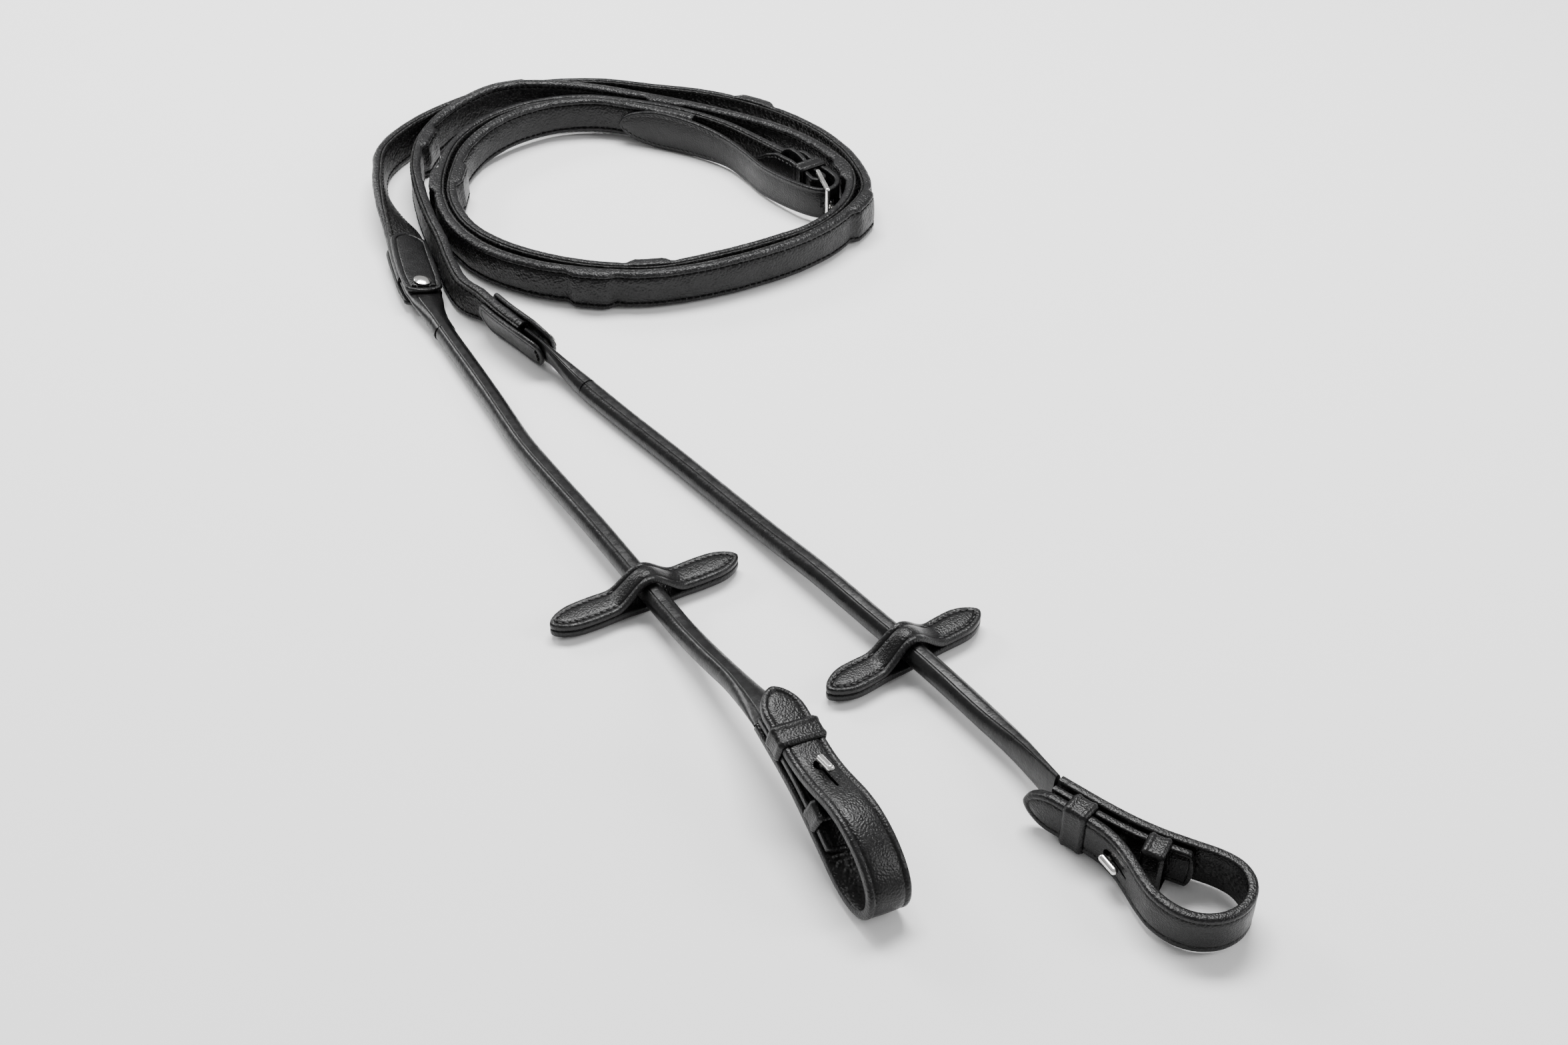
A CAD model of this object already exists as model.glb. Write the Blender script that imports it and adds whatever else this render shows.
"""Leather reins with padded grips, rolled lower reins, rein stops and hook stud billets."""
import math
from functools import lru_cache
import bmesh
import bpy
import numpy as np
from mathutils import Euler, Matrix, Vector, noise


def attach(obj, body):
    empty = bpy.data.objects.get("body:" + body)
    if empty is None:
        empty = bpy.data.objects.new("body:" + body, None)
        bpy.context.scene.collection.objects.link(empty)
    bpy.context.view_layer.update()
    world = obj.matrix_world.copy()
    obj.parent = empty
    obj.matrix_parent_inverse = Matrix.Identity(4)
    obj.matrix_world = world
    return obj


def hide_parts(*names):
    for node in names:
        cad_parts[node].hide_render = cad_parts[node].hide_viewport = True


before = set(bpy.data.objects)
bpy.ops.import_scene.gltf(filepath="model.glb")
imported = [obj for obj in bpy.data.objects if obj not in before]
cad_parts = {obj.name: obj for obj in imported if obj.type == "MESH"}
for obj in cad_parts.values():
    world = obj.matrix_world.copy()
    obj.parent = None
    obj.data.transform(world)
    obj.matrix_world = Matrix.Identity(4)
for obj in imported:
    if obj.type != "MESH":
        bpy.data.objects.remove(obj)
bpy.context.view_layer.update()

MM = 0.001
SCALE = Matrix.Diagonal((MM, MM, MM, 1))
ROOT = "reins"

# ---- Routes, chosen by hand as in the part's source ---------------------------------------------
# Grips: x, y and z in millimetres, and lean in degrees
LEFT_GRIP = [
    (-133, 80, 6.2, 80), (-139, 96, 6.6, 78), (-146, 116, 7.2, 74), (-153, 137, 8.4, 60),
    (-162, 157, 10, 30), (-170, 180, 10, 5), (-172, 205, 10, 0), (-161, 230, 10, 0), (-143, 251, 10, 0),
    (-121, 267, 10, 0), (-95, 274, 10, 0), (-68, 275, 10, 0), (-41, 269, 10, 0), (-15, 263, 10, 0),
    (10, 252, 10, 0), (32, 236, 10, 0), (50, 216, 10, 0), (63, 192, 10, -3), (68, 165, 10, -3),
    (57, 141, 10, 0), (39, 121, 10, 0), (16, 106, 10, 0), (-9, 95, 10, 0), (-35, 89, 10, 0),
    (-62, 91, 10, 0), (-88, 98, 10, 0), (-111, 112, 10, 0), (-128, 133.5, 10, 0), (-137.5, 159.5, 10, 0),
    (-139.5, 186, 10, 0), (-136, 212, 10, 0), (-123, 235, 10, 0), (-102, 251, 10, 0), (-76, 257, 10, 0),
    (-50, 252, 10, 0), (-25, 243, 10, 0), (-2, 229, 10, 0), (18, 210, 10, 0), (35, 191, 10.7, 0),
]
RIGHT_GRIP = [
    (-70, 35, 7.6, 18), (-80, 44, 10.8, 20), (-94, 60, 10.8, 20), (-106, 74, 10.4, 12), (-117, 84, 10, 0),
    (-125, 100, 10, -6), (-132, 120, 10, -6), (-140.5, 142, 10, -4), (-148.6, 167, 10, -3),
    (-154, 192, 10, -2), (-153, 218, 10, 0), (-143, 242, 11.5, 0), (-122, 260, 14.5, 0), (-97, 267, 13, 0),
    (-70, 266, 11, 0), (-45, 259, 10, 0), (-20, 249, 10, 0), (5, 237, 10, 0), (28, 223, 10, 0),
    (47, 204, 10, 0), (60, 181, 10, -3), (58, 155, 10, -3), (43, 132, 10, 0), (21, 117, 10, 0),
    (-3, 105, 10, 0), (-28, 96, 10, 0), (-54, 96, 10, 0), (-80, 103, 10, 0), (-104, 116, 10, 0),
    (-121, 134, 10, 0), (-131, 158.5, 10, 0), (-132.5, 184, 10, 0), (-129, 209, 10, 0), (-115, 230, 12, 0),
    (-93, 246, 12, 0), (-68, 250, 12, 0), (-43, 243, 11.4, 0), (-18, 233, 11, 0),
]
# Rolled reins: the same, then half thickness and half width
LEFT_REIN = [
    (-139.6, 98.6, 6.7, -78, 2.3, 7.8), (-134.4, 85, 6.3, -79, 2.4, 7.6), (-130, 75, 5.6, -80, 3.4, 5.8),
    (-123, 61, 4.7, -80, 4.5, 4.5), (-110, 37, 4.6, -80, 4.5, 4.5), (-95, 9, 4.6, -80, 4.5, 4.5),
    (-80, -20, 4.8, -80, 4.5, 4.5), (-64, -47, 6.4, -80, 4.5, 4.5), (-46, -76, 7.8, -80, 4.5, 4.5),
    (-28, -105, 7.8, -80, 4.5, 4.5), (-15, -126, 7.8, -80, 4.5, 4.5), (-8, -137.5, 8.4, -80, 4.5, 4.5),
    (0, -151.5, 11.2, -80, 4.5, 4.5), (10, -169, 15.8, -82, 4.5, 4.5), (18.4, -184, 19.6, -82, 3.4, 6.2),
    (24.8, -195.2, 22, -82, 1.7, 8),
]
RIGHT_REIN = [
    (-83, 47.5, 10.1, -20, 2.3, 7.8), (-73.6, 38, 8.6, -19, 2.4, 7.2), (-66, 30, 6.4, -18, 3.4, 5.6),
    (-56, 18, 4.8, -14, 4.5, 4.5), (-38, -4, 4.5, -10, 4.5, 4.5), (-18, -28, 4.5, -6, 4.5, 4.5),
    (2, -53, 4.8, 0, 4.5, 4.5), (22, -79, 6, 0, 4.5, 4.5), (42, -105, 7.8, 0, 4.5, 4.5),
    (62, -131, 7.8, 0, 4.5, 4.5), (82, -157, 7.8, 0, 4.5, 4.5), (98, -179, 7.4, 0, 4.5, 4.5),
    (109, -196, 8, 0, 3.4, 6), (119, -216, 9.6, 0, 1.7, 8),
]
# Buckle strap: x, y, z and lean, then half width
BUCKLE_STRAP = [
    (-57, 243, 10.8, 0, 2), (-50, 240.6, 10.8, 0, 7), (-38, 236.2, 10.8, 0, 10), (-25, 230.6, 10.6, 0, 10),
    (-12, 223.5, 10, 0, 9.2), (0, 214, 9.4, 0, 8), (9, 202, 9, 0, 8), (17, 189, 9, 0, 8),
    (26, 178, 9.6, 0, 8), (36, 168, 10.6, 0, 8), (44, 163.4, 10.7, 0, 8), (50, 164, 10.7, 0, 8),
    (53.5, 169, 10.7, 0, 8), (53.4, 175, 10.7, 0, 8), (50, 181, 10.7, 0, 8), (45.3, 186.6, 10.7, 0, 8),
    (41.8, 193.4, 10.7, 0, 8), (37, 200.6, 10.7, 0, 7.6), (32, 206.5, 10.7, 0, 4),
]
# Billets from the side: x and y
LEFT_LINE = [
    (2, 0.4), (10, 0.5), (20, 0.5), (30, 0), (41, -1.6), (52, -3.6), (61.6, -5.2), (69.2, -5), (75.2, -3),
    (78.6, 0.6), (79, 5.3), (76.2, 10), (70.3, 13.7), (62.7, 16), (54, 16.6), (46.3, 15.4), (39.8, 13.2),
    (33.3, 11), (26, 9.5), (18, 9.1), (9, 9), (-6, 9),
]
RIGHT_LINE = [
    (2, 0.4), (10, 0.5), (20, 0.5), (30, 0), (40, -1.4), (50, -3.8), (59, -6), (66, -6), (71.5, -3),
    (74.6, 2.4), (75, 9), (72.4, 15.6), (67, 20.6), (60, 22.8), (52, 22), (45, 18.8), (39, 15.2), (33, 12),
    (26, 9.8), (18, 9.1), (9, 9), (-6, 9),
]
# Chape from above: x and y, folded round the hinge bar at CHAPE_LOOP
CHAPE_LOOP = np.array([44.2, 176.0])
CHAPE_LOOP_R = 3.1
CHAPE_LINE = [(21.7, 212), (27.2, 206.6), (31.8, 201.5), (35.7, 195.5), (38.8, 189.4), (41.8, 184)]
CHAPE_LINE += [(CHAPE_LOOP[0] + CHAPE_LOOP_R * math.cos(math.radians(a)),
                CHAPE_LOOP[1] + CHAPE_LOOP_R * math.sin(math.radians(a))) for a in range(33, -148, -45)]
CHAPE_LINE += [(38, 181.4), (34, 186.2), (29.2, 191.4), (25, 196), (19.9, 201.6), (15.2, 206.2)]
CHAPE_TURN = math.radians(-56.8)
BUCKLE_Z = 10.7

# Half width of the grips and radius of the round reins
GRIP_HALF = 9.2
REIN_R = 4.5
# In a strap's section, an inset this large is the strap's middle line
MIDDLE = 99


# ---- Curves -------------------------------------------------------------------------------------
class Route:
    """A smooth curve through points: u counts the points along it, s is millimetres along it."""

    def __init__(self, points, dim):
        self.points = np.array(points, float)
        self.last = len(points) - 1
        self.us = np.linspace(0, self.last, 60 * self.last + 1)
        line = np.array([self.at(u)[:dim] for u in self.us])
        self.run = np.concatenate([[0], np.cumsum(np.linalg.norm(np.diff(line, axis=0), axis=1))])
        self.length = self.run[-1]

    def at(self, u):
        """The point at u, with whatever else the points hold, on a Catmull-Rom curve."""
        p, n = self.points, self.last
        i = min(max(int(math.floor(u)), 0), n - 1)
        b, c = p[i], p[i + 1]
        a = p[i - 1] if i > 0 else 2 * p[0] - p[1]
        d = p[i + 2] if i + 2 <= n else 2 * p[n] - p[n - 1]
        t = u - i
        return (2 * b + (c - a) * t + (2 * a - 5 * b + 4 * c - d) * t**2 + (3 * b - a - 3 * c + d) * t**3) / 2

    def u_at(self, s):
        """The place among the points that lies s millimetres along."""
        return float(np.interp(s, self.run, self.us))

    def s_at(self, u):
        """The millimetres along the route to place u."""
        return float(np.interp(u, self.us, self.run))


def unit(v):
    """The vector with length 1."""
    return v / np.linalg.norm(v)


def along_route(route, face=1):
    """Where a point of a strap on a route is: s along it, y up its width, n out from its face."""

    @lru_cache(None)
    def stance(s):
        u = route.u_at(s)
        here = route.at(u)
        t = unit(route.at(u + 0.02)[:3] - route.at(u - 0.02)[:3])
        side = unit(np.cross([0, 0, 1], t))
        up = np.cross(t, side)
        lean = math.radians(here[3])
        out = side * math.cos(lean) - up * math.sin(lean)
        across = up * math.cos(lean) + side * math.sin(lean)
        return here[:3], out, across

    def place(s, y, n):
        o, a, b = stance(round(s, 4))
        return o + a * (n * face) + b * y

    return place


def along_line(route, matrix):
    """The same for a strap drawn from the side in its own plane, which matrix then places."""

    @lru_cache(None)
    def stance(s):
        u = route.u_at(s)
        d = unit(route.at(u + 0.04)[:2] - route.at(u - 0.04)[:2])
        return route.at(u)[:2], np.array([-d[1], d[0]])

    def place(s, y, n):
        p, q = stance(round(s, 4))
        x = p + q * n
        return np.array(matrix @ Vector((x[0], x[1], y)))

    return place


def placed(origin, turn):
    """The matrix for an origin in millimetres and a turn in degrees."""
    return Matrix.Translation(origin) @ Euler([math.radians(a) for a in turn], "XYZ").to_matrix().to_4x4()


# ---- Meshes -------------------------------------------------------------------------------------
def finish_mesh(name, verts, faces, tones, body, mat, sharp=50, back=None, back_faces=None):
    """The piece made of these faces: tones darken or lighten it, and back is the material of back_faces."""
    mesh = bpy.data.meshes.new(name)
    mesh.from_pydata([tuple(np.asarray(v) * MM) for v in verts], [], faces)
    mesh.attributes.new("tone", "FLOAT", "POINT").data.foreach_set("value", tones)
    if back:
        mesh.polygons.foreach_set("material_index", back_faces)
    bm = bmesh.new()
    bm.from_mesh(mesh)
    bmesh.ops.remove_doubles(bm, verts=bm.verts, dist=2e-6)
    bmesh.ops.dissolve_degenerate(bm, dist=1e-6, edges=bm.edges)
    bmesh.ops.recalc_face_normals(bm, faces=bm.faces)
    bm.to_mesh(mesh)
    bm.free()
    mesh.shade_smooth()
    mesh.set_sharp_from_angle(angle=math.radians(sharp))
    obj = bpy.data.objects.new(name, mesh)
    bpy.context.scene.collection.objects.link(obj)
    mesh.materials.append(mat)
    if back:
        mesh.materials.append(back)
    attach(obj, body)
    return obj


def loft(rings, wrap=False):
    """Faces through rings of the same count, capped at the ends unless they wrap."""
    n, rows = len(rings[0]), len(rings)
    verts = [v for r in rings for v in r]
    faces = []
    for i in range(rows if wrap else rows - 1):
        m = (i + 1) % rows
        for j in range(n):
            k = (j + 1) % n
            faces.append((i * n + j, m * n + j, m * n + k, i * n + k))
    if not wrap:
        faces.append(tuple(range(n - 1, -1, -1)))
        faces.append(tuple((rows - 1) * n + j for j in range(n)))
    return verts, faces


def stations(s0, s1, tips, pitch):
    """Places along a strap, closer together round its tips."""
    inner = np.linspace(s0 + tips[0], s1 - tips[1], max(2, int((s1 - s0 - sum(tips)) / pitch) + 1))
    out = list(inner)
    bend = [math.radians(a) for a in (0, 12, 24, 36, 48, 60, 70, 80)]
    if tips[0]:
        out = [s0 + tips[0] * (1 - math.cos(b)) for b in bend] + out
    if tips[1]:
        out = out + [s1 - tips[1] * (1 - math.cos(b)) for b in reversed(bend)]
    return out


def tip_of(s, s0, s1, tips):
    """How much of the width a slightly pointed tip leaves at s, and the tip's centre."""
    if tips[0] and s < s0 + tips[0]:
        a = (s0 + tips[0] - s) / tips[0]
        return max(0, 1 - a**1.8) ** 0.6, s0 + tips[0], tips[0]
    if tips[1] and s > s1 - tips[1]:
        a = (s - s1 + tips[1]) / tips[1]
        return max(0, 1 - a**1.8) ** 0.6, s1 - tips[1], tips[1]
    return 1.0, s, 1.0


def inset_point(place, s, side, inset, n, width, s0, s1, tips, lift=None):
    """The point of a strap at an inset from its outline, tips included, and at height n."""
    left, centre, reach = tip_of(s, s0, s1, tips)
    if left < 1:
        s = centre + (s - centre) * (1 - min(inset, reach) / reach)
    y = side * left * max(width(s) - inset, 0)
    if lift:
        n = lift(s, y, n)
    return place(s, y, n)


def strap(name, place, s0, s1, width, profile, body, mat, tips=(0, 0), pitch=2.5, lift=None, sharp=50,
          back=None):
    """A strap whose section is profile: (inset from the edge, height, tone), from the middle of the back
    round one edge to the middle of the face, and mirrored."""
    rings, tones = [], []
    full = [(1, p) for p in profile] + [(-1, p) for p in reversed(profile)]
    for s in stations(s0, s1, tips, pitch):
        rings.append([inset_point(place, s, side, p[0], p[1], width, s0, s1, tips, lift) for side, p in full])
        tones += [p[2] for _, p in full]
    verts, faces = loft(rings)
    count = len(full)
    back_columns = (0, 1, count - 2, count - 1)
    back_faces = [int(len(f) == 4 and f[0] % count in back_columns) for f in faces]
    return finish_mesh(name, verts, faces, tones, body, mat, sharp, back, back_faces)


def edge_profile(back, face, round_r=0.7, crease=None, depth=0.3, crown=0.15):
    """The usual section: rounded edges, and a crease or stitch groove at an inset."""
    r = round_r
    out = [(MIDDLE, back, 0.45), (r, back, 0.4), (0.25 * r, back + 0.3 * r, 0.5), (0, back + r, 0.6)]
    out += [(0, face - r, 0.7), (0.12 * r, face - 0.5 * r, 0.85), (0.4 * r, face - 0.15 * r, 1.0)]
    out += [(r, face, 0.85)]
    if crease:
        c = crease
        out += [(c - 0.55, face + 0.02, 0.6), (c - 0.22, face - 0.5 * depth, 0.25), (c, face - depth, 0.0)]
        out += [(c + 0.22, face - 0.5 * depth, 0.25), (c + 0.6, face + 0.02, 0.5)]
    out += [(4.4, face + 0.6 * crown, 0.5), (MIDDLE, face + crown, 0.5)]
    return out


def cut(obj, cutter_mesh):
    """Takes a closed mesh out of obj for good."""
    cutter = bpy.data.objects.new("cutter", cutter_mesh)
    bpy.context.scene.collection.objects.link(cutter)
    mod = obj.modifiers.new("cut", "BOOLEAN")
    mod.object = cutter
    mod.operation = "DIFFERENCE"
    mod.solver = "EXACT"
    dg = bpy.context.evaluated_depsgraph_get()
    dg.update()
    mesh = bpy.data.meshes.new_from_object(obj.evaluated_get(dg), preserve_all_data_layers=True, depsgraph=dg)
    obj.modifiers.clear()
    obj.data = mesh
    mesh.shade_smooth()
    mesh.set_sharp_from_angle(angle=math.radians(50))
    bpy.data.objects.remove(cutter)


def in_metres(matrix):
    """A placement in millimetres as one in metres."""
    return SCALE @ matrix @ SCALE.inverted()


def cutter_of(bm):
    """The bmesh as a mesh for cut."""
    mesh = bpy.data.meshes.new("cutter")
    bm.to_mesh(mesh)
    bm.free()
    return mesh


def round_cutter(matrix, radius, depth):
    """A cylinder round the z axis of matrix, in millimetres."""
    bm = bmesh.new()
    bmesh.ops.create_cone(bm, cap_ends=True, segments=32, radius1=radius * MM, radius2=radius * MM,
                          depth=depth * MM, matrix=in_metres(matrix))
    return cutter_of(bm)


def box_cutter(matrix, size):
    """A box centred on matrix, in millimetres."""
    bm = bmesh.new()
    shape = Matrix.Diagonal((size[0] * MM, size[1] * MM, size[2] * MM, 1))
    bmesh.ops.create_cube(bm, size=1, matrix=in_metres(matrix) @ shape)
    return cutter_of(bm)


def stitches(name, runs, body, mat, pitch=3.1, length=2.4, radius=0.33):
    """Thread showing on top of the leather: runs are lists of (point, outward direction)."""
    verts, faces, tones = [], [], []
    shape = [(-0.5, -0.2, 0.75), (-0.3, 0.18, 1.0), (0.3, 0.18, 1.0), (0.5, -0.2, 0.75)]
    slant = 0.35
    count = 6
    for run in runs:
        pts = np.array([r[0] for r in run])
        outs = np.array([r[1] for r in run])
        dist = np.concatenate([[0], np.cumsum(np.linalg.norm(np.diff(pts, axis=0), axis=1))])
        for k in range(int(dist[-1] / pitch)):
            mid = (k + 0.5) * pitch

            def on(d):
                return np.array([np.interp(d, dist, pts[:, i]) for i in range(3)])

            out = unit(np.array([np.interp(mid, dist, outs[:, i]) for i in range(3)]))
            heading = unit(on(mid + 0.5) - on(mid - 0.5))
            side = unit(np.cross(heading, out))
            base = len(verts)
            for t, h, f in shape:
                c = on(mid + t * length) + out * h + side * (t * slant)
                for j in range(count):
                    a = 2 * math.pi * j / count
                    verts.append(c + (side * math.cos(a) + out * math.sin(a)) * radius * f)
                    tones.append(0.5)
            for i in range(3):
                for j in range(count):
                    m = (j + 1) % count
                    faces.append((base + i * count + j, base + i * count + m, base + (i + 1) * count + m,
                                  base + (i + 1) * count + j))
            faces.append(tuple(base + j for j in range(count - 1, -1, -1)))
            faces.append(tuple(base + 3 * count + j for j in range(count)))
    return finish_mesh(name, verts, faces, tones, body, mat, 70)


def stitch_at(place, s, side, inset, n, width, s0, s1, tips, lift=None):
    """The point of a run of stitches at s, and the outward direction there."""
    p = inset_point(place, s, side, inset, n, width, s0, s1, tips, lift)
    q = inset_point(place, s, side, inset, n + 1, width, s0, s1, tips, lift)
    return p, q - p


def row(place, s0, s1, side, inset, n, width, ends=None, lift=None):
    """A run of stitches along one edge of a strap, between ends or along all of it."""
    lo, hi = ends or (s0, s1)
    return [stitch_at(place, s, side, inset, n, width, s0, s1, (0, 0), lift) for s in np.arange(lo, hi, 1.0)]


def horseshoe(place, s0, s1, tips, inset, n, width, start):
    """A run along one edge, round the tip nearer to start's end, and back along the other edge."""
    ends = stations(s0, s1, tips, 1.0)
    tip_first = start < 0.5 * (s0 + s1)
    keep = [s for s in ends if (s <= start if tip_first else s >= start)]
    keep = sorted(keep, reverse=tip_first)
    out = []
    for side, order in ((1, keep), (-1, keep[::-1])):
        out += [stitch_at(place, s, side, inset, n, width, s0, s1, tips) for s in order]
    return out


# ---- Materials ----------------------------------------------------------------------------------
def shader_of(name):
    """A new material, its node tree and its shader."""
    mat = bpy.data.materials.new(name)
    mat.use_nodes = True
    return mat, mat.node_tree, mat.node_tree.nodes["Principled BSDF"]


def texture(tree, coord, kind, **inputs):
    """A texture node on the object's own coordinates."""
    node = tree.nodes.new(kind)
    for key, value in inputs.items():
        node.inputs[key].default_value = value
    tree.links.new(coord.outputs["Object"], node.inputs["Vector"])
    return node


def ramp_of(tree, source, low, high):
    """A colour ramp of source between two (position, colour) stops."""
    ramp = tree.nodes.new("ShaderNodeValToRGB")
    for stop, (position, colour) in zip(ramp.color_ramp.elements, (low, high)):
        stop.position = position
        stop.color = (*colour, 1)
    tree.links.new(source, ramp.inputs["Fac"])
    return ramp


def range_of(tree, source, source_range, result_range):
    """The source's range stretched to the result's."""
    node = tree.nodes.new("ShaderNodeMapRange")
    node.inputs["From Min"].default_value, node.inputs["From Max"].default_value = source_range
    node.inputs["To Min"].default_value, node.inputs["To Max"].default_value = result_range
    tree.links.new(source, node.inputs["Value"])
    return node


def relief_of(tree, source, strength, distance, under=None):
    """A bump from source, on top of the one under it; distance is in metres."""
    node = tree.nodes.new("ShaderNodeBump")
    node.inputs["Strength"].default_value = strength
    node.inputs["Distance"].default_value = distance
    tree.links.new(source, node.inputs["Height"])
    if under:
        tree.links.new(under.outputs["Normal"], node.inputs["Normal"])
    return node


def leather(name, low, high, rough, grain, depth, spec=0.5, wear=0.12, relief=0.00022, wave=0.35):
    """Dyed leather: low and high are the darkest and lightest of its tones, grain the cells per metre."""
    mat, tree, shader = shader_of(name)
    coord = tree.nodes.new("ShaderNodeTexCoord")
    cells = texture(tree, coord, "ShaderNodeTexVoronoi", Scale=grain, Randomness=1.0)
    cells.feature = "SMOOTH_F1"
    pores = texture(tree, coord, "ShaderNodeTexNoise", Scale=grain * 1.7, Detail=4.0, Roughness=0.6)
    blotch = texture(tree, coord, "ShaderNodeTexNoise", Scale=55.0, Detail=5.0, Roughness=0.62)
    streak = texture(tree, coord, "ShaderNodeTexNoise", Scale=260.0, Detail=3.0, Roughness=0.55)
    tone = tree.nodes.new("ShaderNodeAttribute")
    tone.attribute_name = "tone"
    colour = ramp_of(tree, blotch.outputs["Fac"], (0.3, low), (0.75, high))
    worn = range_of(tree, tone.outputs["Fac"], (0.0, 1.0), (0.35, 1.0 + wear * 3))
    tint = tree.nodes.new("ShaderNodeVectorMath")
    tint.operation = "SCALE"
    tree.links.new(colour.outputs["Color"], tint.inputs[0])
    tree.links.new(worn.outputs["Result"], tint.inputs["Scale"])
    tree.links.new(tint.outputs["Vector"], shader.inputs["Base Color"])
    gloss = range_of(tree, streak.outputs["Fac"], (0.3, 0.7), (rough - 0.06, rough + 0.09))
    tree.links.new(gloss.outputs["Result"], shader.inputs["Roughness"])
    waves = relief_of(tree, streak.outputs["Fac"], wave, 0.0005)
    grains = relief_of(tree, cells.outputs["Distance"], depth, relief, waves)
    pits = relief_of(tree, pores.outputs["Fac"], depth * 0.55, 0.00012, grains)
    tree.links.new(pits.outputs["Normal"], shader.inputs["Normal"])
    shader.inputs["Specular IOR Level"].default_value = spec
    return mat


def metal(name, colour, rough):
    """Polished metal with tarnish and fine handling marks."""
    mat, tree, shader = shader_of(name)
    shader.inputs["Metallic"].default_value = 1.0
    coord = tree.nodes.new("ShaderNodeTexCoord")
    marks = texture(tree, coord, "ShaderNodeTexNoise", Scale=900.0, Detail=6.0, Roughness=0.7)
    tarnish = texture(tree, coord, "ShaderNodeTexNoise", Scale=180.0, Detail=4.0, Roughness=0.6)
    dull = tuple(c * 0.72 for c in colour)
    tones = ramp_of(tree, tarnish.outputs["Fac"], (0.35, dull), (0.62, colour))
    tree.links.new(tones.outputs["Color"], shader.inputs["Base Color"])
    gloss = range_of(tree, marks.outputs["Fac"], (0.0, 1.0), (rough - 0.05, rough + 0.14))
    tree.links.new(gloss.outputs["Result"], shader.inputs["Roughness"])
    scratches = relief_of(tree, marks.outputs["Fac"], 0.04, 0.00005)
    tree.links.new(scratches.outputs["Normal"], shader.inputs["Normal"])
    return mat


BLACK = (0.0014, 0.0014, 0.0015)
BLACK_WORN = (0.0036, 0.0035, 0.0037)
BRIDLE = leather("bridle_leather", BLACK, BLACK_WORN, 0.33, 1500.0, 0.6, spec=0.26, wear=0.4, relief=0.0003,
                 wave=0.12)
ROLLED = leather("rolled_leather", (0.0016, 0.0016, 0.0017), (0.0042, 0.0041, 0.0043), 0.31, 1300.0, 0.2,
                 spec=0.27, wear=0.4)
SOFT = leather("grip_leather", BLACK, BLACK_WORN, 0.36, 1000.0, 1.0, spec=0.25, wear=0.7, relief=0.0004)
FLESH = leather("lining_leather", (0.002, 0.002, 0.002), (0.0052, 0.005, 0.005), 0.42, 760.0, 1.0, spec=0.24,
                wear=0.5, relief=0.0006)
THREAD = leather("waxed_thread", (0.0004, 0.0004, 0.0004), (0.001, 0.001, 0.001), 0.7, 4000.0, 0.5, spec=0.1)
PALE_THREAD = leather("worn_thread", (0.006, 0.006, 0.0062), (0.02, 0.0195, 0.02), 0.38, 4000.0, 0.5,
                      spec=0.5, wear=0.3)
CORD = leather("cord_fibre", (0.12, 0.11, 0.09), (0.2, 0.18, 0.15), 0.8, 2500.0, 0.9, spec=0.2)
STEEL = metal("polished_steel", (0.86, 0.85, 0.83), 0.12)

# ---- Grips --------------------------------------------------------------------------------------
# Places of the finger stops, counted along the points of each grip's route
LEFT_STOPS = [9.2, 14.1, 18.5, 23.9, 28.5]
RIGHT_STOPS = [9.9, 15.5, 19.9, 25.2, 30.8]
STOP_RISE = 2.4
# Distances from a finger stop's middle, counted along the route's points
STOP_TOP, STOP_FOOT = 0.26, 0.43
PINCH_AT, PINCH_REACH = 0.46, 0.06


def swell_of(u, stops):
    """How much the nearest finger stop swells the cover at u, and how much the cover is pinched beside it."""
    d = min(abs(u - x) for x in stops)
    t = min(max((STOP_FOOT - d) / (STOP_FOOT - STOP_TOP), 0), 1)
    return t * t * (3 - 2 * t), math.exp(-(((d - PINCH_AT) / PINCH_REACH) ** 2))


# Sections of the cover and the lining: inset from the edge, height above the middle of the strap, tone
COVER = [
    (MIDDLE, 1.3, 0.2), (1.2, 1.3, 0.2), (1.2, -1.2, 0.2), (0.5, -1.25, 0.5), (0.14, -0.8, 0.8), (0, 0, 0.9),
    (0.08, 0.8, 1.0), (0.32, 1.5, 1.0), (0.75, 2.12, 1.0), (1.3, 2.5, 1.0), (1.85, 2.56, 0.8),
    (2.3, 2.34, 0.6), (2.7, 1.96, 0.5), (3.1, 2.28, 0.6), (3.9, 2.56, 0.5), (5.4, 2.72, 0.5),
    (7.2, 2.8, 0.5), (MIDDLE, 2.84, 0.5),
]
LINING = [
    (MIDDLE, -1.34, 0.3), (0.7, -1.34, 0.3), (0.42, -1.7, 0.6), (0.45, -2.2, 0.8), (0.75, -2.46, 0.8),
    (1.9, -2.5, 0.5), (2.35, -2.42, 0.6), (2.7, -2.22, 0.5), (3.05, -2.42, 0.6), (3.6, -2.52, 0.5),
    (6, -2.56, 0.5), (MIDDLE, -2.58, 0.5),
]
# Inset of the grip's rows of thread, and the height above which the cover is wrinkled
GRIP_STITCH = 2.7
COVER_FACE = 1.6


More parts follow.
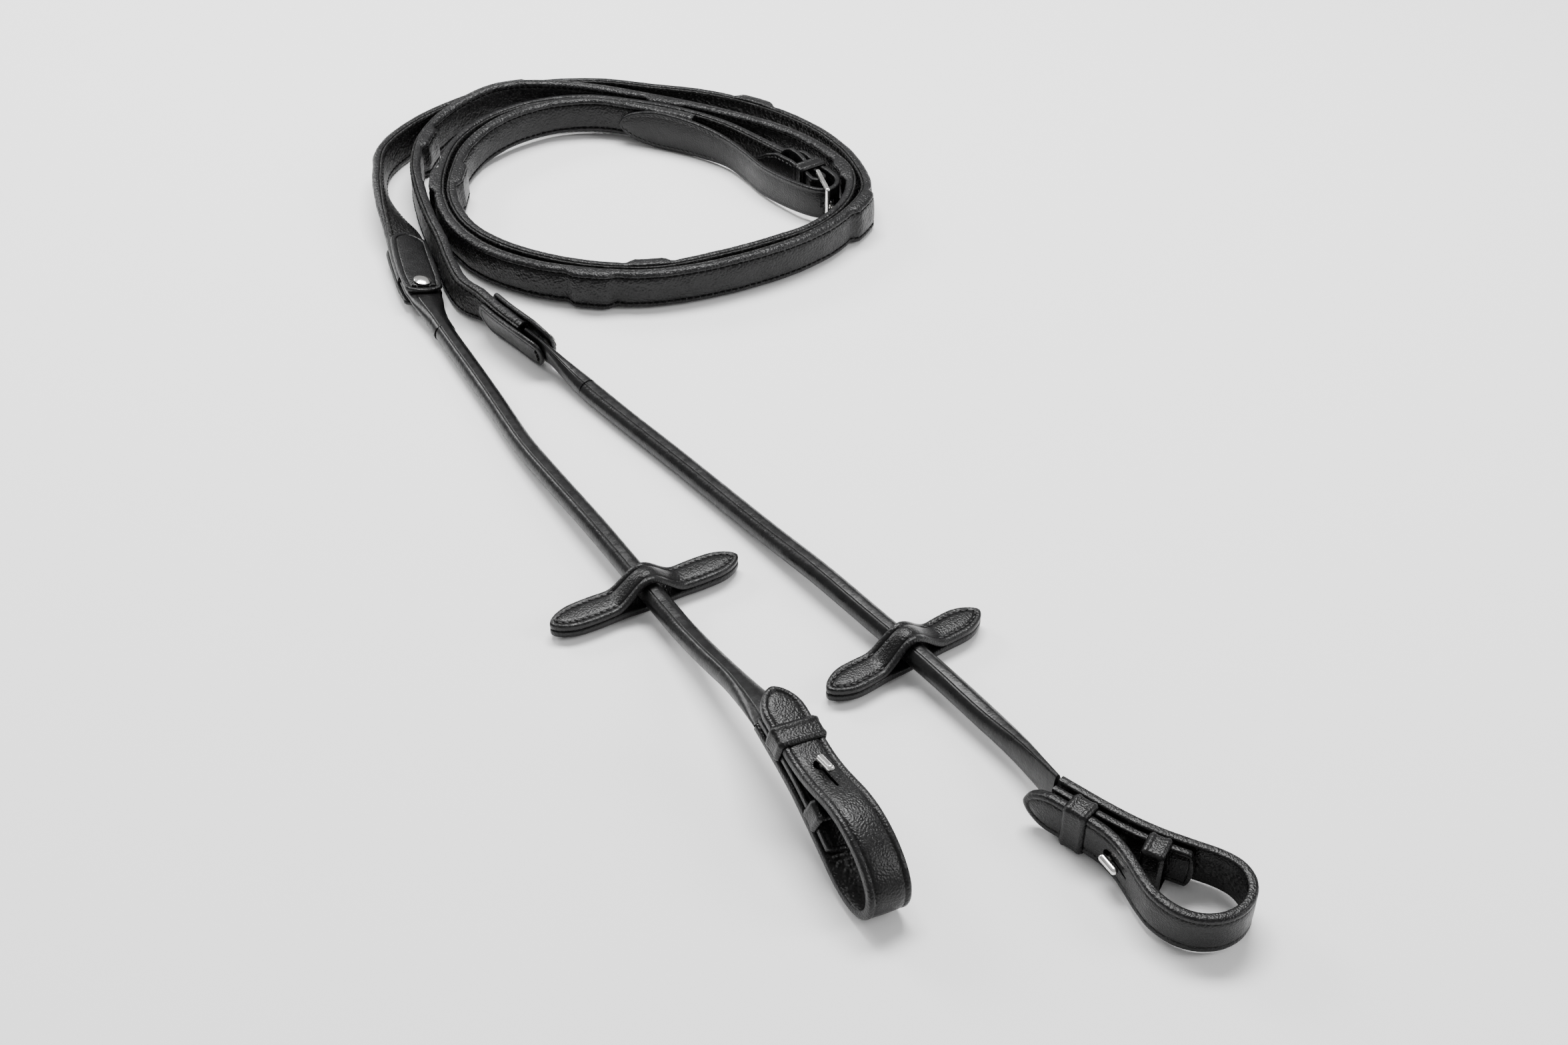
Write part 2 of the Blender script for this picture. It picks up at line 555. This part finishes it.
def grip(side, points, stops, face, u0, u1, seed):
    """A padded grip from u0 to u1 of its route: the soft cover, the lining and the two rows of thread."""
    route = Route(points, 3)
    place = along_route(route, face)
    s0, s1 = route.s_at(u0), route.s_at(u1)

    def width(s):
        return GRIP_HALF + 0.45 * swell_of(route.u_at(s), stops)[0]

    def lift(s, y, n):
        swell, pinch = swell_of(route.u_at(s), stops)
        w = min(max((n - 0.2) / 1.4, 0), 1)
        ripple = noise.noise((s * 0.11, y * 0.22, seed)) * 0.32
        ripple += noise.noise((s * 0.42, y * 0.3, seed + 9)) * 0.2
        ripple += noise.noise((s * 0.9, y * 0.2, seed + 5)) * 0.5 * pinch
        return n + w * (swell * STOP_RISE - 0.5 * pinch + (ripple if n > COVER_FACE else 0))

    def under(s, y, n):
        return n + (noise.noise((s * 0.2, y * 0.4, seed + 20)) * 0.1 if n < -2 else 0)

    skin = strap(side + "_grip_skin", place, s0, s1, width, COVER, ROOT, SOFT, pitch=1.9,
                 lift=lift, sharp=60)
    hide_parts(side + "_grip_cover")
    back = strap(side + "_grip_back", place, s0, s1, lambda s: GRIP_HALF, LINING, ROOT,
                 FLESH, pitch=3.0, lift=under)
    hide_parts(side + "_grip_lining")
    runs = []
    for y in (1, -1):
        runs.append(row(place, s0, s1, y, GRIP_STITCH, 2.12, width, lift=lift))
        runs.append([(p, -q) for p, q in row(place, s0, s1, y, GRIP_STITCH, -2.34, width)])
    thread = stitches(side + "_grip_thread", runs, ROOT, THREAD)
    path = [place(s, 0, 0.3) * MM for s in np.linspace(s0, s1, 260)]


grip("left", LEFT_GRIP, LEFT_STOPS, 1, 1.25, 37.6, 3)
grip("right", RIGHT_GRIP, RIGHT_STOPS, -1, 1.3, 37, 11)

# ---- Joins: the stitched tabs over the ends of the grips ------------------------------------------
# Heights of a tab's two faces above the strap's middle, lengths of its tips and inset of its thread
TAB_IN, TAB_OUT = 3.1, 5.1
TAB_TIPS = (3.5, 7.5)
TAB_STITCH = 2.6


def join(side, points, u0, u1, start):
    """Two stitched tabs, one each side of the grip's end; start is their half width at the grip."""
    route = Route(points, 3)
    s0, s1 = route.s_at(u0), route.s_at(u1)

    def half(s):
        part = (s - s0) / (s1 - s0)
        return float(np.interp(part, [0, 0.1, 0.25, 0.8, 0.9, 1], [start, 8.6, 9.3, 9.2, 8.8, 6.6]))

    def lift(s, y, n):
        return n - 0.75 * max(0.0, 1 - (s - s0) / 12) ** 1.5

    section = edge_profile(TAB_IN, TAB_OUT, 0.8, TAB_STITCH, 0.35, 0.25)
    runs = []
    for label, face in (("front", -1), ("back", 1)):
        place = along_route(route, face)
        tab = strap(f"{side}_join_{label}", place, s0, s1, half, section, ROOT, BRIDLE,
                    tips=TAB_TIPS, pitch=1.6, lift=lift)
        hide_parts(f"{side}_join_{label}_tab")
        runs.append(horseshoe(place, s0, s1, TAB_TIPS, TAB_STITCH, TAB_OUT - 0.26, half, s0 + 4))
    stitches(side + "_join_thread", runs, ROOT, THREAD, pitch=2.9, length=2.2)


join("left", LEFT_GRIP, 0.4, 2.8, 8.4)
join("right", RIGHT_GRIP, 0.4, 2.9, 6.2)


# ---- Rolled reins -------------------------------------------------------------------------------
# Degrees round the section: the seam of the rolled leather, and the points, closer together at the seam
SEAM_AT = 23
ROUND = sorted(list(range(-180, 180, 12)) + [17, 20, 22, 24, 26, 29, -15, -18])


def rolled(side, points, seed):
    """The round length, and the two flattened ends that are stitched into the join and the billet."""
    route = Route(points, 3)
    place = along_route(route)
    marks = [0, route.s_at(3), route.s_at(route.last - 2), route.length]
    for label, lo, hi in zip(("join_end", "rein", "billet_end"), marks, marks[1:]):
        rings, tones, path = [], [], []
        for s in np.linspace(lo, hi, int((hi - lo) / 2.2) + 1):
            thick, wide = route.at(route.u_at(s))[4:6]
            if label == "join_end":
                wide = max(wide, float(np.interp(s, [0, 10, 19], [8.8, 8.6, 5])))
            centre = place(s, 0, 0)
            across, along_width = place(s, 0, 1) - centre, place(s, 1, 0) - centre
            up = math.atan2(along_width[2], across[2])
            wander = 3.5 * noise.noise((s * 0.03, seed, 0)) + 1.2 * noise.noise((s * 0.25, seed, 4))
            ring = []
            for deg in ROUND:
                t = up + math.radians(deg + wander)
                seam = math.exp(-(((deg - SEAM_AT) / 2.2) ** 2))
                band = math.exp(-(((deg - 3) / 15.0) ** 4))
                r = 1 - 0.07 * seam - 0.035 * band + 0.008 * noise.noise((s * 0.12, deg * 0.02, seed))
                x, y = thick * r * math.cos(t), wide * r * math.sin(t)
                ring.append(centre + across * x + along_width * y)
                tones.append(0.5 - 0.5 * seam + 0.35 * band)
            rings.append(ring)
            path.append(centre * MM)
        verts, faces = loft(rings)
        obj = finish_mesh(f"{side}_rolled_{label}", verts, faces, tones, ROOT, ROLLED, 80)
        if label == "rein":
            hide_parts(side + "_rolled_cover")


rolled("left", LEFT_REIN, 2.0)
rolled("right", RIGHT_REIN, 7.0)


# ---- Rein stops ---------------------------------------------------------------------------------
# Lengths of a rein stop's tips, heights of its layers' faces and inset of its thread
STOP_TIPS = (11, 11)
UPPER_BACK, UPPER_FACE = -3.42, -0.6
LOWER_BACK, LOWER_FACE = -6.3, -3.48
STOP_STITCH = 2.5


def hump(x):
    """The rise of a layer where it goes over or under the rein."""
    return (1 + math.cos(math.pi * x / 15)) / 2 if abs(x) < 15 else 0.0


def rein_stop(side, origin, turn, length, body):
    """Two layers of leather stitched together, one over the rein and one under it."""
    matrix = placed(origin, (0, 0, turn))

    def layer(rise):
        def place(s, y, n):
            return np.array(matrix @ Vector((s, y, n + rise * hump(s))))

        return place

    def half(s):
        return 6.1 + 0.55 * math.exp(-(((abs(s) - 22) / 9) ** 2)) - 0.5 * hump(s)

    top, low = layer(REIN_R + 4), layer(-1.3)
    s1 = length / 2
    section = edge_profile(UPPER_BACK, UPPER_FACE, 0.9, STOP_STITCH, 0.5, 0.3)
    upper = strap(side + "_stop_upper", top, -s1, s1, half, section, body, BRIDLE,
                  tips=STOP_TIPS, pitch=1.2)
    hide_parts(side + "_stop_top")
    section = edge_profile(LOWER_BACK, LOWER_FACE, 0.75)
    lower = strap(side + "_stop_lower", low, -s1, s1, half, section, body, BRIDLE,
                  tips=STOP_TIPS, pitch=1.2)
    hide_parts(side + "_stop_bottom")
    groove = UPPER_FACE - 0.3
    runs = [horseshoe(top, -s1, s1, STOP_TIPS, STOP_STITCH, groove, half, start) for start in (11, -11)]
    stitches(side + "_stop_thread", runs, body, PALE_THREAD, pitch=2.5, length=1.9, radius=0.36)


rein_stop("left", (-24, -111.6, 7.8), 30, 79, "left_rein_stop")
rein_stop("right", (72, -144, 7.8), 36, 71, "right_rein_stop")


# ---- Billets ------------------------------------------------------------------------------------
# Half widths and half thicknesses of the billet's strap and of the layer inside its fold, and its height
BILLET_HALF, BILLET_T = 8.0, 1.7
BASE_HALF, BASE_T = 7.7, 1.3
BASE_AT = 4.5
# The stud along the billet, radii of the holes in the strap and in the layer, and the slit's middle
STUD_AT = 29
HOLE_R, POST_R = 2.3, 1.3
SLIT_AT = 34.5
KEEPER_HALF = 8.2

# Smooth grain side outside with a crease along each edge, flesh side inside the loop
BILLET_SECTION = [
    (MIDDLE, BILLET_T, 0.5), (4.4, BILLET_T, 0.5), (0.7, BILLET_T, 0.5), (0.2, BILLET_T - 0.2, 0.5),
    (0, BILLET_T - 0.8, 0.6), (0, 1.1 - BILLET_T, 0.7), (0.1, 0.6 - BILLET_T, 0.9),
    (0.35, 0.25 - BILLET_T, 1.0), (0.8, 0.02 - BILLET_T, 1.0), (1.35, -0.06 - BILLET_T, 0.9),
    (1.9, 0.02 - BILLET_T, 0.6),
    (2.2, 0.22 - BILLET_T, 0.15), (2.45, 0.36 - BILLET_T, 0.0), (2.75, 0.2 - BILLET_T, 0.15),
    (3.2, 0.02 - BILLET_T, 0.5), (5.0, -0.06 - BILLET_T, 0.5), (MIDDLE, -0.09 - BILLET_T, 0.5),
]


def beside(place, s_mid, s, y, n):
    """A point beside station s_mid, s further along the strap's straight tangent there."""
    tangent = unit(place(s_mid + 0.5, 0, 0) - place(s_mid - 0.5, 0, 0))
    return place(s_mid, y, n) + tangent * s


def keeper(name, place, s_mid, length, y_half, n0, n1):
    """A ridged loop of leather round a strap; y across the strap, n through it."""
    corner, thick = 0.9, 1.2
    corner_points, steps = 6, 16
    mid = (n0 + n1) / 2

    def loop(s, grow):
        out = []
        for cy, cn, first in ((1, 1, 0), (-1, 1, 90), (-1, -1, 180), (1, -1, 270)):
            for k in range(corner_points):
                a = math.radians(first + 18 * k)
                r = corner + grow
                y = cy * (y_half - corner) + r * math.cos(a)
                n = mid + cn * ((n1 - n0) / 2 - corner) + r * math.sin(a)
                out.append(beside(place, s_mid, s, y, n))
        return out

    rings, tones = [], []
    for k in range(steps + 1):
        a = k / steps
        ridge = math.exp(-(((a - 0.17) / 0.09) ** 2)) + math.exp(-(((a - 0.83) / 0.09) ** 2))
        ridge += 0.12 * math.sin(math.pi * a)
        edge = min(1, 6 * min(a, 1 - a) + 0.35)
        rings.append(loop((a - 0.5) * length, thick * (0.72 + 0.28 * ridge) * edge))
        tones += [0.25 + 0.6 * ridge] * len(rings[-1])
    for a in (1, 0.5, 0):
        rings.append(loop((a - 0.5) * length, 0))
        tones += [0.3] * len(rings[-1])
    verts, faces = loft(rings, wrap=True)
    return finish_mesh(name, verts, faces, tones, ROOT, BRIDLE, 60)


def billet(side, line, origin, turn):
    """A hook stud billet: the folded strap with its hole and slit, the layer under it, and two keepers."""
    route = Route(line, 2)
    matrix = placed(origin, turn)
    place = along_line(route, matrix)
    across = Matrix.Rotation(math.radians(90), 4, "X")
    body = strap(side + "_billet", place, 0.0, route.length, lambda s: BILLET_HALF, BILLET_SECTION, ROOT,
                 BRIDLE, tips=(0, 11), pitch=1.4, back=FLESH)
    cut(body, round_cutter(matrix @ Matrix.Translation((STUD_AT, 9.7, 0)) @ across, HOLE_R, 9.4))
    cut(body, box_cutter(matrix @ Matrix.Translation((SLIT_AT, 11.5, 0)), (11, 11, 1.0)))
    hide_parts(side + "_billet_strap")
    section = [(i, n + BASE_AT, t) for i, n, t in edge_profile(-BASE_T, BASE_T, 0.6, 1.8, 0.25)]
    base_end = route.s_at(5.3) - 0.6
    base = strap(side + "_billet_layer", place, 0.4, base_end, lambda s: BASE_HALF, section, ROOT,
                 BRIDLE, tips=(0, 2.2), pitch=1.6)
    cut(base, round_cutter(matrix @ Matrix.Translation((STUD_AT, 3, 0)) @ across, POST_R, 12))
    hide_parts(side + "_billet_base")
    face = BASE_AT - BASE_T
    folded = 8.6 + BILLET_T
    up = keeper(side + "_keeper_upper", place, route.s_at(1.45), 9, KEEPER_HALF, face - 0.1, folded + 0.1)
    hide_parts(side + "_upper_keeper")
    low = keeper(side + "_keeper_lower", place, route.s_at(4.05), 8, KEEPER_HALF, face - 0.1, face + 8)
    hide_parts(side + "_lower_keeper")


billet("left", LEFT_LINE, (24, -194, 22.2), (82, 12, -62.5))
billet("right", RIGHT_LINE, (118.3, -215.4, 9.6), (180, 0, -40))

# ---- Centre buckle ------------------------------------------------------------------------------
# Middles of the buckle's hinge bar and of its outer bar
HINGE = (44.5, 176.5)
OUTER = (49.0, 158.8)
# Sections: inset from the edge, height, tone
CHAPE_SECTION = [
    (MIDDLE, -1.1, 0.5), (3, -1.1, 0.5), (0.6, -1.1, 0.5), (0.1, -0.8, 0.6), (0, -0.3, 0.7), (0, 0.3, 0.8),
    (0.12, 0.8, 1.0), (0.5, 1.1, 0.9), (1.3, 1.12, 0.6), (1.9, 0.85, 0.0), (2.5, 1.12, 0.5),
    (MIDDLE, 1.15, 0.5),
]
LEAF_SECTION = [
    (MIDDLE, -1.2, 0.5), (2.6, -1.2, 0.5), (2.0, -0.98, 0.1), (1.4, -1.2, 0.6), (0.55, -1.15, 0.9),
    (0.1, -0.85, 0.9), (0, -0.3, 0.7), (0, 0.3, 0.7), (0.1, 0.85, 0.9), (0.55, 1.15, 0.9), (1.4, 1.2, 0.6),
    (2.0, 0.98, 0.1), (2.6, 1.2, 0.5), (MIDDLE, 1.25, 0.5),
]
# Axes of the chape, with x from its tip to its fold, and of the buckle, with x from HINGE to OUTER
chape_at = Matrix.Translation((*CHAPE_LOOP, BUCKLE_Z)) @ Matrix.Rotation(CHAPE_TURN, 4, "Z")
buckle_at = Matrix.Translation((*HINGE, BUCKLE_Z)) @ Matrix.Rotation(
    math.atan2(OUTER[1] - HINGE[1], OUTER[0] - HINGE[0]), 4, "Z")

chape_route = Route(CHAPE_LINE, 2)
chape_place = along_line(chape_route, Matrix.Translation((0, 0, BUCKLE_Z)))
chape_dir = np.array([math.cos(CHAPE_TURN), math.sin(CHAPE_TURN)])


def chape_half(s):
    """The chape's half width, which depends on the distance from the fold."""
    x = float(np.dot(chape_route.at(chape_route.u_at(s))[:2] - CHAPE_LOOP, chape_dir))
    return float(np.interp(x, [-42, -35, -28, -18, -12, 6], [0.6, 5.6, 8.6, 8.8, 7.8, 7.8]))


chape = strap("centre_chape", chape_place, 0.3, chape_route.length - 0.3, chape_half, CHAPE_SECTION, ROOT,
              BRIDLE, pitch=1.0)
cut(chape, box_cutter(chape_at @ Matrix.Translation((-1, 0, 0)), (14, 12, 4.2)))
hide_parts("buckle_chape")

leaf_route = Route(BUCKLE_STRAP, 3)
leaf_place = along_route(leaf_route)


def leaf_half(s):
    """The buckle strap's half width, the last number of its route's points."""
    return float(leaf_route.at(leaf_route.u_at(s))[4])


leaf = strap("centre_strap", leaf_place, 0, leaf_route.length, leaf_half, LEAF_SECTION, ROOT,
             BRIDLE, tips=(2.5, 3.5), pitch=1.2)
cut(leaf, box_cutter(buckle_at @ Matrix.Translation((13.5, 0.9, 0)), (7.4, 7, 3.2)))
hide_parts("buckle_strap")

centre_runs = []
for face_n in (1.05, -1.05):
    for y_side in (1, -1):
        run = row(leaf_place, 0, leaf_route.length, y_side, 2.0, face_n, leaf_half, (3, 58))
        centre_runs.append([(p, q * math.copysign(1, face_n)) for p, q in run])
for y_side in (1, -1):
    for ends in ((6, 26), (chape_route.length - 26, chape_route.length - 6)):
        centre_runs.append(row(chape_place, 0, chape_route.length, y_side, 1.9, 1.0, chape_half, ends))
stitches("centre_thread", centre_runs, ROOT, PALE_THREAD, pitch=2.7, length=2.0, radius=0.28)


def keeper_place(s, y, n):
    """A point on the chape's axes: s along it, n across it level with the floor, and y up."""
    return np.array(chape_at @ Vector((-10 + s, 2.3 + n, y)))


ring = keeper("centre_keeper", keeper_place, 0, 7.5, 8.3, -6.4, 6.4)
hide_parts("buckle_keeper")

# ---- CAD nodes that stay ------------------------------------------------------------------------
METAL_WORDS = ("rivet", "stud", "buckle_frame", "buckle_tongue")
for name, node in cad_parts.items():
    if any(word in name for word in METAL_WORDS):
        mat = STEEL
    elif "cord" in name:
        mat = CORD
    else:
        mat = BRIDLE
    node.data.materials.clear()
    node.data.materials.append(mat)

# ---- Floor, light and camera --------------------------------------------------------------------
# Metres
FLOOR_HALF, FLOOR_DROP = 3, 0.0003
scene = bpy.context.scene
floor_mesh = bpy.data.meshes.new("floor")
corners = [(x * FLOOR_HALF, y * FLOOR_HALF, 0) for x, y in ((-1, -1), (1, -1), (1, 1), (-1, 1))]
floor_mesh.from_pydata(corners, [], [(0, 1, 2, 3)])
floor = bpy.data.objects.new("floor", floor_mesh)
floor.location.z = -FLOOR_DROP
scene.collection.objects.link(floor)
paper, _, paper_shader = shader_of("paper")
paper_shader.inputs["Base Color"].default_value = (0.97, 0.97, 0.97, 1)
paper_shader.inputs["Roughness"].default_value = 0.9
floor_mesh.materials.append(paper)


def softbox(name, place, size, power):
    """A rectangular light that faces the origin; place and size are in metres, power in watts."""
    light = bpy.data.lights.new(name, "AREA")
    light.shape = "RECTANGLE"
    light.size, light.size_y = size
    light.energy = power
    obj = bpy.data.objects.new(name, light)
    obj.location = place
    obj.rotation_euler = (Vector() - Vector(place)).to_track_quat("-Z", "Y").to_euler()
    scene.collection.objects.link(obj)
    return obj


lights = [softbox("top", (0, 0.45, 1.2), (0.9, 0.4), 34),
          softbox("back_left", (-1.1, 0.9, 0.8), (0.6, 0.4), 13),
          softbox("right", (1.3, -0.3, 0.8), (0.5, 0.6), 9)]
sky = bpy.data.worlds.new("studio")
sky.use_nodes = True
sky.node_tree.nodes["Background"].inputs["Color"].default_value = (1, 1, 1, 1)
sky.node_tree.nodes["Background"].inputs["Strength"].default_value = 0.5
scene.world = sky

# Place in metres, tilt in degrees, lens and sensor in millimetres: fitted to the photo
CAMERA_AT = (0.028, -0.65, 0.491)
CAMERA_TILT = 50
LENS, SENSOR = 44.2, 36
camera_data = bpy.data.cameras.new("camera")
camera_data.lens = LENS
camera_data.sensor_width = SENSOR
camera_data.clip_start = 0.01
camera = bpy.data.objects.new("camera", camera_data)
camera.location = CAMERA_AT
camera.rotation_euler = (math.radians(CAMERA_TILT), 0, 0)
scene.collection.objects.link(camera)
scene.camera = camera

bpy.context.view_layer.update()
